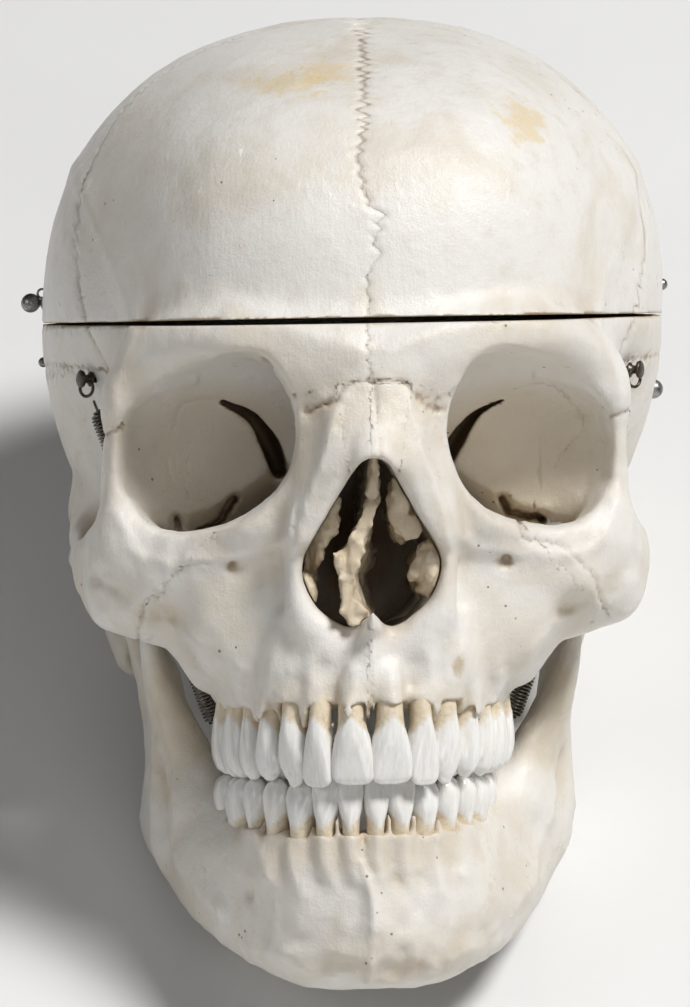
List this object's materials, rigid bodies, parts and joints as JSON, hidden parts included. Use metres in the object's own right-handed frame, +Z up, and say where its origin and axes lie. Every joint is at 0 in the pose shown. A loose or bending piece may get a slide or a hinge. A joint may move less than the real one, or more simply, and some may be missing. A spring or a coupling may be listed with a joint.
{
  "type": "anatomical skull model",
  "caption": "Life-size human teaching skull with a sawn cap held by pins, a persistent brow suture, full upper and lower teeth, and a jaw hung on two steel springs.",
  "frame": {"origin": "centre of the bounding box on the floor that the skull lies on", "axes": "+Z up, +X towards the skull's left, +Y from the chin towards the back of the head"},
  "size_m": [0.141, 0.2278, 0.1615],
  "materials": {
    "bone": "dry pale bone, off-white with faint yellow stains",
    "cap_bone": "smooth pale bone with a soft sheen",
    "jaw_bone": "pale bone, its teeth glossy white with beige roots",
    "upper_jaw_bone": "pale bone, its teeth glossy white with beige roots",
    "nose_bone": "rough beige to brown thin bone",
    "pin_steel": "dull, slightly tarnished steel",
    "spring_steel": "dark coiled spring wire"
  },
  "bodies": {
    "root": {"base_pin_right": "pin_steel", "base_screw_left": "pin_steel", "cap_frontal_left": "cap_bone", "cap_frontal_right": "cap_bone", "cap_parietal_left": "cap_bone", "cap_parietal_right": "cap_bone", "cap_pin_left": "pin_steel", "cap_pin_right": "pin_steel", "concha_left": "nose_bone", "concha_right": "nose_bone", "frontal_left": "bone", "frontal_right": "bone", "jaw_hook_left": "pin_steel", "jaw_hook_right": "pin_steel", "jaw_spring_left": "spring_steel", "jaw_spring_right": "spring_steel", "mandible": "jaw_bone", "maxilla_left": "upper_jaw_bone", "maxilla_right": "upper_jaw_bone", "middle_concha_left": "nose_bone", "nasal_left": "bone", "nasal_right": "bone", "nasal_septum": "nose_bone", "occipital": "bone", "parietal_left": "bone", "parietal_right": "bone", "sphenoid": "bone", "temple_hook_left": "pin_steel", "temple_hook_right": "pin_steel", "temporal_left": "bone", "temporal_right": "bone", "zygomatic_left": "bone", "zygomatic_right": "bone"}
  },
  "joints": []
}
